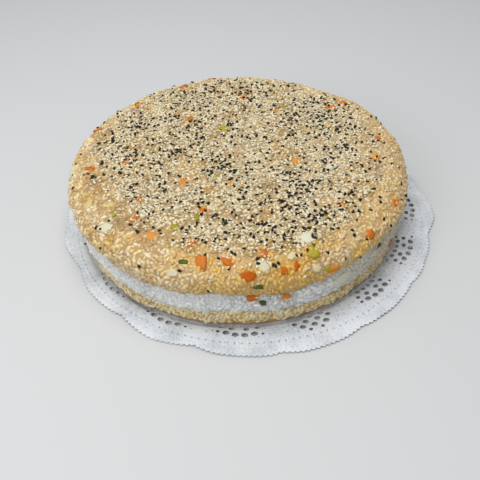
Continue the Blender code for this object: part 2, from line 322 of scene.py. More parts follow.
def place_on(tree):
    """Where a point lies on the object itself."""
    return add_node(tree, "ShaderNodeTexCoord", {}, {}, "Object")


def axes_of(place):
    """How far across, along and up a place is."""
    apart = add_node(place.tree, "ShaderNodeSeparateXYZ", {}, {0: place})
    return [Wire(place.tree, socket) for socket in apart.socket.node.outputs]


def noise_on(tree, place, scale, detail=2.0, roughness=0.5):
    sockets = {"Vector": place, "Scale": scale, "Detail": detail, "Roughness": roughness}
    return add_node(tree, "ShaderNodeTexNoise", {}, sockets)


def bump_on(tree, shader, height, distance, strength=1.0):
    sockets = {"Height": height, "Distance": distance, "Strength": strength}
    feed(tree, add_node(tree, "ShaderNodeBump", {}, sockets), shader, "Normal")


def paper_finish():
    """Matt paper, a little bluish, mottled by its fibres and embossed with ribs outside the crease."""
    made, tree, shader = new_finish("doily paper", Roughness=0.85, Specular_IOR_Level=0.3)
    place = place_on(tree)
    fibres = noise_on(tree, place, 900.0, 4.0, 0.7)
    clouds = noise_on(tree, place, 45.0)
    feed(tree, mix_colours(step_between(fibres * 0.7 + clouds * 0.45, 0.42, 0.66), PAPER_SHADE, PAPER_COLOUR),
         shader, "Base Color")
    across, along, _ = axes_of(place)
    angle = maths("ARCTAN2", along, across)
    radius = (across * across + along * along) ** 0.5
    ribs = maths("SINE", angle * float(TEETH)) * step_between(radius, CREASE, CREASE + 2.0 * MM)
    beads = maths("SINE", radius * 1500.0) * step_between(radius, CREASE - 3.0 * MM, CREASE)
    dots = ribs * maths("SINE", radius * 1800.0)
    bump_on(tree, shader, fibres * 0.3 + ribs * 0.08 + dots * 0.16 + beads * 0.2, 0.5 * MM, 0.8)
    return made


def ease(share):
    share = min(max(share, 0.0), 1.0)
    return share * share * (3.0 - 2.0 * share)


def around(places, angle):
    """A smooth line through listed values round the object, given in degrees and millimetres."""
    degrees = (math.degrees(angle) + 180.0) % 360.0 - 180.0
    turned = list(places) + [(places[0][0] + 360, places[0][1])]
    for (start, first), (end, last) in zip(turned, turned[1:]):
        if start <= degrees <= end:
            return (first + (last - first) * ease((degrees - start) / (end - start))) * MM


def doily_edge(angle):
    """The paper's cut edge: large lobes, with small teeth along them, not all cut alike."""
    degrees = math.degrees(angle)
    gap = min(abs((degrees - middle + 180.0) % 360.0 - 180.0) for middle in LOBE_MIDDLES)
    lobe = max(math.cos(0.5 * math.pi * gap / HALF_LOBE), 0.0) ** 0.7
    tooth = abs(math.sin(0.5 * TEETH * angle))
    worn = noise.noise(Vector((math.cos(angle), math.sin(angle), 0.0)) * 7.0)
    cut_back = LOBE_DEPTH * (1.0 - lobe) + TOOTH_DEPTH * (1.0 - tooth)
    return around(LOBE_REACH, angle) - cut_back + EDGE_WEAR * worn


def polar(radius, angle, height=0.0):
    return Vector((radius * math.cos(angle), radius * math.sin(angle), height))


def paper_round():
    """The uncut round of paper, a closed disc of rings whose last follows the toothed edge."""
    columns = TEETH * POINTS_PER_TOOTH
    turns = [2.0 * math.pi * c / columns for c in range(columns)]
    shape = bmesh.new()
    faces = []
    for height in (0.0, PAPER_THICKNESS):
        rings = [[shape.verts.new((0.0, 0.0, height))]]
        for ring in PAPER_RINGS:
            rings.append([shape.verts.new(polar(ring * MM, turn, height)) for turn in turns])
        rings.append([shape.verts.new(polar(doily_edge(turn), turn, height)) for turn in turns])
        faces.append(rings)
    for side, rings in enumerate(faces):
        for c in range(columns):
            after = (c + 1) % columns
            loops = [(rings[0][0], rings[1][c], rings[1][after])]
            loops += [(near[c], far[c], far[after], near[after]) for near, far in zip(rings[1:], rings[2:])]
            for loop in loops:
                shape.faces.new(loop if side else tuple(reversed(loop)))
    for c in range(columns):
        after = (c + 1) % columns
        low, high = faces[0][-1], faces[1][-1]
        shape.faces.new((low[c], low[after], high[after], high[c]))
    return mesh_from(shape, "paper round", smooth=False)


def lace_places():
    """Where the press punches: for each hole its place, its turn and its size out and round."""
    punched = []
    pins = []
    for lobe, middle in enumerate(LOBE_MIDDLES):
        middle = math.radians(middle)
        for off, out, share in (LACE_LATTICE if lobe % LATTICE_EVERY == 1 else LACE_OVAL):
            angle = middle + math.radians(off)
            punched.append((polar(out * MM, angle), angle, LACE_HOLE[0] * share, LACE_HOLE[1] * share))
        for width, depth in PIN_ROUND_LACE:
            count = int(2.0 * math.pi * math.sqrt(0.5 * (width ** 2 + depth ** 2)) / PIN_PITCH)
            for index in range(count):
                turn = 2.0 * math.pi * (index + 0.5) / count
                angle = middle + width * math.sin(turn) / LACE_RADIUS
                pins.append((LACE_RADIUS + depth * math.cos(turn), angle))
    pins = [(radius, angle) for radius, angle in pins if radius < CREASE]
    pins += [(PIN_RING, 2.0 * math.pi * index / PINS_ROUND) for index in range(PINS_ROUND)]
    for radius, angle in pins:
        place = polar(radius, angle)
        if all((place - other).length > PIN_ROOM + 0.5 * wide for other, _, _, wide in punched):
            punched.append((place, angle, PIN_HOLE, PIN_HOLE))
    return punched


def open_tree(name, inputs, output):
    """A Geometry Nodes tree with its named inputs and its output, and a wire from each input."""
    tree = bpy.data.node_groups.new(name, "GeometryNodeTree")
    for socket_name, kind in inputs:
        tree.interface.new_socket(socket_name, in_out="INPUT", socket_type="NodeSocket" + kind)
    tree.interface.new_socket(output, in_out="OUTPUT", socket_type="NodeSocketGeometry")
    entry = tree.nodes.new("NodeGroupInput")
    return tree, {socket.name: Wire(tree, socket) for socket in entry.outputs if socket.name}


def close_tree(tree, made, finish):
    """Gives what the tree made its material, and leads it out."""
    made = add_node(tree, "GeometryNodeSetMaterial", {}, {"Geometry": made, "Material": finish})
    leave = tree.nodes.new("NodeGroupOutput")
    tree.links.new(made.socket, leave.inputs[0])
    return tree


def named_value(tree, name):
    """A value that is stored at each point under this name."""
    return add_node(tree, "GeometryNodeInputNamedAttribute", {"data_type": "FLOAT"}, {"Name": name})


def punch_tree():
    """Geometry Nodes that set a punch at each point, sized and turned, and cut the paper with them."""
    inputs = (("Places", "Geometry"), ("Sides", "Int"), ("Paper", "Object"), ("Finish", "Material"))
    tree, given = open_tree("punch lace", inputs, "Lace")
    sockets = {"Vertices": given["Sides"], "Radius": 0.5, "Depth": PUNCH_DEPTH}
    punch = add_node(tree, "GeometryNodeMeshCylinder", {}, sockets)
    turn, out, wide = [named_value(tree, name) for name in ("turn", "out", "wide")]
    rotation = add_node(tree, "ShaderNodeCombineXYZ", {}, {2: turn})
    size = add_node(tree, "ShaderNodeCombineXYZ", {}, {0: out, 1: wide, 2: 1.0})
    sockets = {"Points": given["Places"], "Instance": punch, "Rotation": rotation, "Scale": size}
    punches = add_node(tree, "GeometryNodeInstanceOnPoints", {}, sockets)
    punches = add_node(tree, "GeometryNodeRealizeInstances", {}, {0: punches})
    paper = add_node(tree, "GeometryNodeObjectInfo", {}, {"Object": given["Paper"]}, "Geometry")
    settings = {"operation": "DIFFERENCE", "solver": "MANIFOLD"}
    lace = add_node(tree, "GeometryNodeMeshBoolean", settings, {"Mesh 1": paper, "Mesh 2": punches})
    return close_tree(tree, lace, given["Finish"])


def run_tree(tree, mesh, values, name):
    """Runs a Geometry Nodes tree over a mesh with the given named inputs, and returns a plain object."""
    carrier = link(bpy.data.objects.new(name + " carrier", mesh))
    modifier = carrier.modifiers.new("Make", "NODES")
    modifier.node_group = tree
    for socket in tree.interface.items_tree:
        if socket.in_out == "INPUT" and socket.name in values:
            modifier[socket.identifier] = values[socket.name]
    graph = bpy.context.evaluated_depsgraph_get()
    graph.update()
    made = bpy.data.meshes.new_from_object(carrier.evaluated_get(graph))
    made.name = name
    bpy.data.objects.remove(carrier, do_unlink=True)
    return link(bpy.data.objects.new(name, made))


def paper_lift(place):
    """How far the paper stands off the table: flat under the cake, up beside it, low again at its edge."""
    across = (place.x - cake_middle.x - 0.5 * WIDER - BASE_CREPT[0]) / (1.0 + 0.5 * WIDER / WEIGHED_DOWN)
    free = max(math.hypot(across, place.y - BASE_CREPT[1]) - WEIGHED_DOWN, 0.0)
    waves = LIFT_EVEN + LIFT_UNEVEN * noise.noise(Vector((place.x, place.y, 0.0)) * LIFT_SCALE)
    ribs = RIB_HEIGHT * math.sin(TEETH * math.atan2(place.y, place.x)) * (place.xy.length > CREASE)
    settled = SETTLED_SHARE * ease((place.xy.length - SETTLING[0]) / (SETTLING[1] - SETTLING[0]))
    return EDGE_LIFT * (1.0 - math.exp(-free / LIFTS_WITHIN)) * waves * (1.0 - settled) + ribs


def make_doily():
    paper = link(bpy.data.objects.new("paper", paper_round()))
    places = lace_places()
    points = bpy.data.meshes.new("lace places")
    points.from_pydata([place for place, _, _, _ in places], [], [])
    for name, column in (("turn", 1), ("out", 2), ("wide", 3)):
        rows = points.attributes.new(name, "FLOAT", "POINT").data
        rows.foreach_set("value", [place[column] for place in places])
    values = {"Paper": paper, "Sides": LACE_HOLE_SIDES, "Finish": paper_finish()}
    lace = run_tree(punch_tree(), points, values, "doily_lace")
    bpy.data.objects.remove(paper, do_unlink=True)
    for vertex in lace.data.vertices:
        vertex.co.z += paper_lift(vertex.co)
    return lace


doily = make_doily()
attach(doily, "root")
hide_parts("doily")


# The cake itself is three masses of cooked rice, pressed one on another in a ring mould: seasoned rice, plain
# white rice, and a thicker layer of seasoned rice whose upper edge is rounded by hand once the ring is off.

BASE_RADIUS = 134.0 * MM
MIDDLE_RADIUS = 138.0 * MM
TOP_RADIUS = 143.5 * MM
BASE_BULGE = 1.5 * MM
MIDDLE_BULGE = 2.4 * MM
RIM_REACH = 24.0 * MM
RIM_DROP = 17.0 * MM
TOP_THICKNESS = 26.6 * MM
UNDERCUT = 3.0 * MM
UNDER_EDGE = 2.5 * MM
UNDER_MARGIN = 14.0 * MM
TURNED_IN = ((0.4, 3.5 * MM), (1.0, 0.6 * MM))
CORNER = 2.2 * MM
FLAT_MARGIN = 12.0 * MM
SIDE_PARTS = 8
SHOULDER_PARTS = 12
MASS_COLUMNS = 360
MASS_STEP = 2.4 * MM
HIDDEN_STEP = 20.0 * MM
PATCH_RELIEF = 1.5 * MM
PATCH_SCALE = 45.0
GRAIN_RELIEF = 0.8 * MM
GRAIN_SCALE = 260.0
# How far across the right side, away from the lamps, darkens: partly soaked, partly painted shade.
SOAKED_AND_SHADED_FROM = 75.0 * MM
SOAKED_AND_SHADED_FULLY = 125.0 * MM
WARM_FROM = (-75.0 * MM, -85.0 * MM)
WARM_FULLY = (-30.0 * MM, -118.0 * MM)
# Heights over which the lower edge of the top layer darkens: partly damp, partly painted shade under its
# overhang.
DAMP_AND_SHADE_ABOVE = (24.0 * MM, 34.0 * MM)
DAMP_AND_SHADE_BELOW = (40.0 * MM, 50.0 * MM)

# How far the joins between the layers wander up and down: degrees round the cake, then millimetres.
LEVEL = ((-180, 0.0),)
LOW_JOIN = (
    (-180, 0.0), (-150, 1.5), (-128, 0.5), (-114, -3.0), (-104, -1.0), (-95, 1.8), (-86, 1.0), (-78, -2.2),
    (-70, -0.5), (-60, 1.6), (-47, 0.5), (-36, -1.5), (-10, 1.5), (25, -1.5), (60, 1.8), (95, -1.0),
    (135, 1.6))
HIGH_JOIN = (
    (-180, -1.0), (-160, 1.5), (-147, 2.5), (-135, 1.5), (-123, -2.0), (-112, -1.0), (-97, 2.8), (-88, 2.0),
    (-78, -1.0), (-66, 1.2), (-57, 4.0), (-47, 7.5), (-36, 7.0), (-24, 1.5), (0, -1.0), (30, 2.5),
    (58, -1.5), (90, 2.2), (120, -1.8), (150, 1.5))

# SEASONED_SHADE and PLAIN_SHADE are the darkest tints of the masses, which show only between the grains:
# painted shade in the crevices.
SEASONED_PALE = (0.83, 0.67, 0.35, 1.0)
SEASONED_TAN = (0.60, 0.41, 0.18, 1.0)
SEASONED_DEEP = (0.47, 0.29, 0.11, 1.0)
SEASONED_GOLD = (0.62, 0.37, 0.06, 1.0)
SEASONED_SHADE = (0.36, 0.23, 0.10, 1.0)
# The rice under the sesame is tinted darker than that on the side: painted shade in the gaps beneath and
# between the seeds, and on the brightly lit top.
PAINTED_SHADE_UNDER_SEEDS = ((0.28, 0.18, 0.08, 1.0), (0.42, 0.28, 0.12, 1.0), (0.58, 0.42, 0.19, 1.0))
LOWEST_TINTS = ((0.52, 0.36, 0.15, 1.0), (0.76, 0.60, 0.32, 1.0), (0.82, 0.72, 0.48, 1.0))
CARROT_JUICE = (0.66, 0.30, 0.03, 1.0)
SEASONED_CREAM = (0.72, 0.62, 0.44, 1.0)
PLAIN_WHITE = (0.78, 0.78, 0.75, 1.0)
PLAIN_GREY = (0.66, 0.67, 0.66, 1.0)
PLAIN_DEEP = (0.56, 0.57, 0.55, 1.0)
PLAIN_SHADE = (0.46, 0.47, 0.46, 1.0)
# The plain rice's right side, partly soaked and partly in painted shade.
PLAIN_SOAKED_AND_SHADED = (0.52, 0.43, 0.29, 1.0)


def evenly_along(points, bare_top):
    """The same outline with close points where it shows, and a few where another layer hides it."""
    fine = [points[0]]
    for (r0, z0), (r1, z1) in zip(points, points[1:]):
        hidden = min(r0, r1) == 0.0 and not (bare_top and r0 == 0.0)
        step = HIDDEN_STEP if hidden else MASS_STEP
        parts = max(1, math.ceil(math.hypot(r1 - r0, z1 - z0) / step))
        fine += [(r0 + (r1 - r0) * i / parts, z0 + (z1 - z0) * i / parts) for i in range(1, parts + 1)]
    return fine


def layer_outline(radius, low, high, bulge):
    """From the top middle down the side to the bottom middle. The side swells between its round edges."""
    points = [(0.0, high), (radius - FLAT_MARGIN, high), (radius - CORNER, high)]
    for row in range(SIDE_PARTS + 1):
        share = row / SIDE_PARTS
        height = (high - 0.5 * CORNER) * (1.0 - share) + (low + 0.5 * CORNER) * share
        points.append((radius + bulge * math.sin(math.pi * share), height))
    return points + [(radius - CORNER, low), (radius - FLAT_MARGIN, low), (0.0, low)]


def top_outline(low, high):
    """As the layers below, but with a broad round shoulder and an edge that is drawn in underneath."""
    points = [(0.0, high), (TOP_RADIUS - RIM_REACH, high)]
    for step in range(1, SHOULDER_PARTS + 1):
        turn = 0.5 * math.pi * step / SHOULDER_PARTS
        height = high - RIM_DROP * (1.0 - math.cos(turn))
        points.append((TOP_RADIUS - RIM_REACH * (1.0 - math.sin(turn)), height))
    points += [(TOP_RADIUS - share * UNDERCUT, low + height) for share, height in TURNED_IN]
    return points + [(TOP_RADIUS - UNDERCUT - UNDER_EDGE, low), (TOP_RADIUS - UNDER_MARGIN, low), (0.0, low)]


def pressed_mass(name, outline, low_join, high_join, seed, bare_top=False):
    """A turned mass whose joins wander, with the bumps that hand-pressed rice has, patches and grains."""
    outline = evenly_along(outline, bare_top)
    low, high = outline[-1][1], outline[0][1]
    widest = max(radius for radius, _ in outline)
    shape = bmesh.new()
    rings = []
    for radius, height in outline:
        columns = MASS_COLUMNS if radius > 0.0 else 1
        ring = []
        for c in range(columns):
            angle = 2.0 * math.pi * c / MASS_COLUMNS
            share = (height - low) / (high - low)
            wander = (1.0 - share) * around(low_join, angle) + share * around(high_join, angle)
            wander *= ease(radius / widest * 3.0 - 2.0)
            ring.append(shape.verts.new(polar(radius, angle, height + wander)))
        rings.append(ring)
    for near, far in zip(rings, rings[1:]):
        for c in range(MASS_COLUMNS):
            after = (c + 1) % MASS_COLUMNS
            if len(near) == 1:
                shape.faces.new((near[0], far[c], far[after]))
            elif len(far) == 1:
                shape.faces.new((near[c], far[0], near[after]))
            else:
                shape.faces.new((near[c], far[c], far[after], near[after]))
    shape.normal_update()
    for vertex in shape.verts:
        place = vertex.co + Vector((seed, 0.0, 0.0))
        relief = PATCH_RELIEF * noise.noise(place * PATCH_SCALE)
        relief += GRAIN_RELIEF * noise.noise(place * GRAIN_SCALE)
        under = ease((vertex.normal.z + 0.9) / 0.5)
        vertex.co += vertex.normal * relief * under
    for vertex in shape.verts:
        vertex.co.x += 0.5 * WIDER * (1.0 + vertex.co.x / widest)
    bmesh.ops.translate(shape, vec=cake_middle, verts=shape.verts)
    return link(bpy.data.objects.new(name, mesh_from(shape, name)))


def stored(tree, name):
    """A value that each grain or point brings with it, for its colour."""
    return add_node(tree, "ShaderNodeAttribute", {"attribute_name": name}, {}, "Fac")


def rice_finish(name, tints, patches, patchy, soaked_and_shaded_side, warm_front_and_damp_shade):
    """Moist cooked rice. A grain is tinted from deep to pale, patches differ, and one side is darker,
    partly soaked and partly painted shade.

    The juice of the carrots warms the front, and the lower edge of the top layer is damp and brown, and
    darker also as painted shade under its overhang.
    """
    made, tree, shader = new_finish(
        name, Subsurface_Weight=0.38, Subsurface_Radius=(1.0, 0.8, 0.5), Subsurface_Scale=0.002,
        Specular_IOR_Level=0.5, Coat_Weight=0.12, Coat_Roughness=0.22)
    place = place_on(tree)
    tint = stored(tree, "tint")
    mottle = noise_on(tree, place, 420.0, 3.0, 0.6)
    stains = noise_on(tree, place, 38.0, 2.0)
    washes = noise_on(tree, place, 23.0, 2.0)
    clumps = noise_on(tree, place, 100.0, 1.0)
    tone = tint * 0.7 + mottle * 0.5 + (clumps - 0.5) * 1.3 - 0.12
    deep, middling, pale = tints
    colour = mix_colours(step_between(tone, 0.0, 0.45), deep, middling)
    colour = mix_colours(step_between(tone, 0.35, 0.9), colour, pale)
    colour = mix_colours(step_between(tint + mottle * 0.3, 0.95, 1.1) * 0.8, colour, patches[1])
    colour = mix_colours(step_between(stains, 0.5, 0.66) * 0.65 * patchy, colour, patches[0])
    colour = mix_colours(step_between(1.0 - washes, 0.5, 0.66) * 0.55 * patchy, colour, patches[1])
    across, along, height = axes_of(place)
    # The right side, away from the lamps, is darker: partly soaked with seasoning, partly painted shade.
    soaked_and_shaded = step_between(across + stains * 40.0 * MM, SOAKED_AND_SHADED_FROM, SOAKED_AND_SHADED_FULLY) * soaked_and_shaded_side
    colour = mix_colours(soaked_and_shaded, colour, patches[2])
    warm = step_between(across, WARM_FROM[0], WARM_FULLY[0])
    warm = warm * step_between(along, WARM_FROM[1], WARM_FULLY[1])
    warm = warm * step_between(washes + tint * 0.2, 0.35, 0.65) * warm_front_and_damp_shade
    colour = mix_colours(warm, colour, patches[0])
    # The lower edge of the top layer is darker brown: partly damp, partly painted shade under its overhang.
    damp_and_shade = step_between(height, *DAMP_AND_SHADE_ABOVE) * (1.0 - step_between(height + mottle * 8.0 * MM, *DAMP_AND_SHADE_BELOW))
    colour = mix_colours(damp_and_shade * warm_front_and_damp_shade, colour, patches[3])
    juice = stored(tree, "juice")
    colour = mix_colours(step_between(juice + mottle * 0.5, 0.35, 1.2) * 0.75, colour, CARROT_JUICE)
    feed(tree, colour, shader, "Base Color")
    feed(tree, 0.28 + mottle * 0.3, shader, "Roughness")
    bump_on(tree, shader, noise_on(tree, place, 900.0, 2.0), 0.25 * MM, 0.6)
    return made


# Patch colours: stains, washes, the darker side (soaked and painted shade), and the damp lower edge (also
# painted shade).
seasoned_patches = (SEASONED_GOLD, SEASONED_CREAM, SEASONED_TAN, SEASONED_SHADE)
plain_patches = (PLAIN_GREY, PLAIN_WHITE, PLAIN_SOAKED_AND_SHADED, PLAIN_GREY)
# The masses show only in the gaps between the grains, so their tints are a step darker than the grains':
# painted shade in the crevices.
seasoned_mass_crevice_shade_finish = rice_finish(
    "pressed seasoned rice in painted crevice shade", (SEASONED_SHADE, SEASONED_DEEP, SEASONED_TAN), seasoned_patches, 0.35, 0.3, 0.7)
plain_mass_crevice_shade_finish = rice_finish(
    "pressed plain rice in painted crevice shade", (PLAIN_SHADE, PLAIN_DEEP, PLAIN_GREY), plain_patches, 1.0, 0.8, 0.0)

base_low, base_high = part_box("rice_base")[0].z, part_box("rice_base")[1].z
middle_low, middle_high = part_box("rice_middle")[0].z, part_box("rice_middle")[1].z
top_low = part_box("rice_top")[0].z
top_high = top_low + TOP_THICKNESS

base_outline = layer_outline(BASE_RADIUS, base_low, base_high, BASE_BULGE)
base_mass = pressed_mass("base_mass", base_outline, LEVEL, LOW_JOIN, 1.0)
base_mass.data.transform(Matrix.Translation((*BASE_CREPT, 0.0)))
middle_outline = layer_outline(MIDDLE_RADIUS, middle_low, middle_high, MIDDLE_BULGE)
middle_mass = pressed_mass("middle_mass", middle_outline, LOW_JOIN, HIGH_JOIN, 2.0)
top_mass = pressed_mass("top_mass", top_outline(top_low, top_high), HIGH_JOIN, LEVEL, 3.0, True)
masses = (base_mass, middle_mass, top_mass)

for mass, mass_finish, node, slot in (
        (base_mass, seasoned_mass_crevice_shade_finish, "rice_base", "seasoned_rice"),
        (middle_mass, plain_mass_crevice_shade_finish, "rice_middle", "plain_rice"),
        (top_mass, seasoned_mass_crevice_shade_finish, "rice_top", "seasoned_rice")):
    mass.data.materials.append(mass_finish)
    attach(mass, "root")
    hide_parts(node)


# Vegetables are cut small and mixed into the rice, so they lie pressed flush in its surface: carrot dice,
# slices of green bean and spring onion, and pale pieces of onion and egg. Those in front are where they show.

CARROT_COLOUR = (0.47, 0.10, 0.002, 1.0)
CARROT_PALE = (0.66, 0.30, 0.05, 1.0)
GREEN_COLOUR = (0.045, 0.080, 0.015, 1.0)
GREEN_PALE = (0.36, 0.30, 0.02, 1.0)
PALE_COLOUR = (0.62, 0.60, 0.46, 1.0)
PALE_YELLOW = (0.60, 0.47, 0.20, 1.0)

# Pixels of the frame, then length, width and thickness in millimetres, then how pale the piece is.
CARROTS_SEEN = (
    (201, 263, 10.5, 9.0, 6.0, 0.3), (228, 262, 8.5, 7.0, 5.0, 0.2), (248, 277, 9.0, 7.0, 5.0, 0.0),
    (190, 245, 7.5, 6.0, 5.0, 0.3), (151, 236, 8.5, 6.5, 5.0, 0.7), (264, 253, 8.0, 5.0, 4.0, 0.2),
    (285, 271, 6.0, 5.0, 4.0, 0.1), (296, 266, 7.0, 5.5, 4.5, 0.0), (203, 210, 7.0, 5.0, 4.0, 0.2),
    (140, 200, 7.0, 5.0, 4.0, 0.2), (134, 219, 9.0, 3.5, 3.0, 0.3), (183, 182, 6.5, 4.5, 4.0, 0.5),
    (191, 119, 7.0, 5.0, 4.0, 0.2), (296, 161, 9.5, 5.5, 4.0, 0.6), (375, 157, 8.5, 6.5, 5.0, 0.8),
    (395, 202, 7.5, 5.5, 5.0, 0.2), (341, 205, 7.0, 4.5, 4.0, 0.5), (371, 234, 7.5, 6.0, 5.0, 0.2),
    (389, 242, 7.0, 4.5, 4.0, 0.0), (254, 297, 9.0, 5.0, 4.0, 0.2), (286, 296, 6.5, 4.5, 4.0, 0.6),
    (333, 269, 8.5, 4.5, 4.0, 0.5), (211, 80, 8.0, 5.5, 4.5, 0.2), (343, 103, 8.0, 4.5, 4.0, 0.4),
    (126, 164, 6.0, 4.0, 4.0, 0.5), (231, 184, 6.5, 4.0, 4.0, 0.6))
GREENS_SEEN = (
    (222, 224, 9.5, 6.0, 4.0, 0.0), (196, 218, 6.0, 4.5, 4.0, 0.6), (113, 214, 6.5, 4.0, 4.0, 0.8),
    (175, 228, 9.0, 5.0, 4.0, 0.75), (183, 262, 6.5, 3.5, 3.0, 0.1), (313, 252, 9.0, 7.0, 5.0, 1.0),
    (313, 245, 3.5, 3.0, 3.0, 0.0), (312, 228, 4.5, 3.0, 3.0, 0.1), (329, 269, 7.0, 4.5, 4.0, 0.8),
    (263, 303, 5.5, 4.0, 3.0, 0.0), (257, 287, 7.5, 2.2, 2.5, 0.0), (322, 109, 6.5, 4.0, 3.5, 0.5),
    (216, 176, 6.0, 4.5, 4.0, 0.9), (379, 245, 4.0, 3.0, 3.0, 0.3))
PALES_SEEN = (
    (306, 238, 13.0, 11.0, 4.0, 0.0), (104, 228, 13.0, 8.0, 4.0, 0.2), (263, 266, 10.0, 7.0, 4.0, 0.2),
    (342, 278, 20.0, 8.0, 4.0, 0.1), (89, 204, 11.0, 8.0, 4.0, 0.9), (316, 268, 8.0, 5.0, 4.0, 0.4),
    (108, 205, 9.0, 6.0, 4.0, 0.9), (292, 256, 7.0, 5.0, 4.0, 0.5), (172, 273, 9.0, 5.0, 4.0, 0.3))
HIDDEN_CARROTS = 26
HIDDEN_GREENS = 11
HIDDEN_PALES = 9
PIECE_PROUD = 1.0 * MM
PIECE_CUTS = 4
PIECE_SKEW = 0.3
PIECE_TIP = 0.2
PIECE_ROUNDING = 0.5
ROUND_AS = 0.62
PIECE_LUMPS = 0.26
LUMP_SCALE = 3.5
PIECE_BARE = 0.33
JUICE_REACH = 9.0 * MM
PIECES_APART = 9.0 * MM
UNSEEN_FROM = -20.0
UNSEEN_ARC = 220.0
UNSEEN_MARGINS = (4.0 * MM, 8.0 * MM)
OVER_THE_TOP = (0.25, 0.95)
FROM_OUTSIDE = 0.3

cake_trees = [
    BVHTree.FromPolygons([v.co for v in mass.data.vertices], [p.vertices for p in mass.data.polygons])
    for mass in masses]
pressed_in = []


def first_hit(start, ray):
    """The nearest place where a ray meets the cake, and which way the surface faces there."""
    hits = [tree.ray_cast(start, ray) for tree in cake_trees]
    hits = [hit for hit in hits if hit[0] is not None]
    return min(hits, key=lambda hit: hit[3])[:2] if hits else None


def hidden_rays(count, draw):
    """Rays at the cake from its back, its sides and over its top, out of the camera's sight."""
    for index in range(count):
        angle = math.radians(UNSEEN_FROM + UNSEEN_ARC * (index + draw.random()) / count)
        outward = polar(1.0, angle)
        if index % 3:
            height = draw.uniform(base_low + UNSEEN_MARGINS[0], top_high - UNSEEN_MARGINS[1])
            yield cake_middle + outward * FROM_OUTSIDE + Vector((0.0, 0.0, height)), -outward
        else:
            over = cake_middle + outward * draw.uniform(*OVER_THE_TOP) * TOP_RADIUS
            yield over + Vector((0.0, 0.0, FROM_OUTSIDE)), Vector((0.0, 0.0, -1.0))


def cut_piece(shape, place, facing, size, paleness, draw, shade):
    """A knife-cut piece, cooked soft and askew, pressed into the rice so that one face just shows."""
    block = bmesh.new()
    bmesh.ops.create_cube(block, size=1.0)
    for vertex in block.verts:
        vertex.co.x *= 1.0 + draw.uniform(-PIECE_SKEW, PIECE_SKEW)
        vertex.co.y *= 1.0 + draw.uniform(-PIECE_SKEW, PIECE_SKEW)
    bmesh.ops.subdivide_edges(block, edges=block.edges[:], cuts=PIECE_CUTS, use_grid_fill=True)
    apart = Vector((draw.uniform(0.0, 50.0), 0.0, 0.0))
    leaning = 0.5 * math.pi if facing.z > 0.7 else 0.5
    turn = facing.to_track_quat("Z", "Y") @ Quaternion((0.0, 0.0, 1.0), draw.uniform(-leaning, leaning))
    turn = turn @ Quaternion((1.0, 0.0, 0.0), draw.uniform(-PIECE_TIP, PIECE_TIP))
    centre = place + facing * (PIECE_PROUD - 0.5 * size[2])
    for vertex in block.verts:
        rounded = vertex.co.lerp(vertex.co.normalized() * ROUND_AS, PIECE_ROUNDING)
        rounded += rounded.normalized() * PIECE_LUMPS * noise.noise(rounded * LUMP_SCALE + apart)
        vertex.co = centre + turn @ Vector((rounded.x * size.x, rounded.y * size.y, rounded.z * size.z))
    first = len(shape.verts)
    mesh = mesh_from(block, "block", smooth=False)
    shape.from_mesh(mesh)
    bpy.data.meshes.remove(mesh)
    shape.verts.ensure_lookup_table()
    for index in range(first, len(shape.verts)):
        shape.verts[index][shade] = paleness


def cut_vegetables(name, seen, hidden, finish, seed):
    draw = random.Random(seed)
    shape = bmesh.new()
    shade = shape.verts.layers.float.new("tint")
    for across, down, length, width, thickness, paleness in seen:
        found = first_hit(camera_place, pixel_ray(across, down))
        if found:
            size = Vector((length, width, thickness)) * MM
            cut_piece(shape, *found, size, paleness, draw, shade)
            pressed_in.append((found[0], PIECE_BARE * size.y))
    for start, ray in hidden_rays(hidden, draw):
        found = first_hit(start, ray)
        model = draw.choice(seen)
        if found and all((found[0] - other).length > PIECES_APART for other, _ in pressed_in):
            size = Vector(model[2:5]) * MM * draw.uniform(0.85, 1.1)
            cut_piece(shape, *found, size, model[5], draw, shade)
            pressed_in.append((found[0], PIECE_BARE * size.y))
    mesh = mesh_from(shape, name)
    mesh.materials.append(finish)
    pieces = link(bpy.data.objects.new(name, mesh))
    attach(pieces, "root")
    return pieces


def vegetable_finish(name, full, pale):
    """Wet cut vegetable: streaked flesh that is paler on some pieces, and shiny."""
    made, tree, shader = new_finish(
        name, Subsurface_Weight=0.15, Subsurface_Radius=(1.0, 0.5, 0.25), Subsurface_Scale=0.002,
        Specular_IOR_Level=0.16, Coat_Weight=0.02, Coat_Roughness=0.2)
    flesh = noise_on(tree, place_on(tree), 520.0, 3.0, 0.6)
    paleness = step_between(stored(tree, "tint") + flesh * 0.6, 0.2, 1.3)
    feed(tree, mix_colours(paleness, full, pale), shader, "Base Color")
    feed(tree, 0.25 + flesh * 0.3, shader, "Roughness")
    bump_on(tree, shader, flesh, 0.3 * MM, 0.7)
    return made


def share_by(mass, name, rule):
    """Stores a value from nought to one at each point of a mass: how thickly it is strewn, how stained."""
    shares = mass.data.attributes.new(name, "FLOAT", "POINT")
    shares.data.foreach_set("value", [rule(vertex.co) for vertex in mass.data.vertices])


def juice_near(place):
    """How far the juice of the nearest carrot has stained the rice."""
    nearest = min((place - other).length for other in carrot_places)
    return max(0.0, 1.0 - nearest / JUICE_REACH)


vegetables = [cut_vegetables(
    "carrot_dice", CARROTS_SEEN, HIDDEN_CARROTS,
    vegetable_finish("carrot", CARROT_COLOUR, CARROT_PALE), 21)]
carrot_places = [place for place, _ in pressed_in]
vegetables.append(cut_vegetables(
    "green_pieces", GREENS_SEEN, HIDDEN_GREENS,
    vegetable_finish("green vegetable", GREEN_COLOUR, GREEN_PALE), 22))
vegetables.append(cut_vegetables(
    "pale_pieces", PALES_SEEN, HIDDEN_PALES,
    vegetable_finish("onion and egg", PALE_COLOUR, PALE_YELLOW), 23))
for mass in masses:
    share_by(mass, "juice", juice_near)


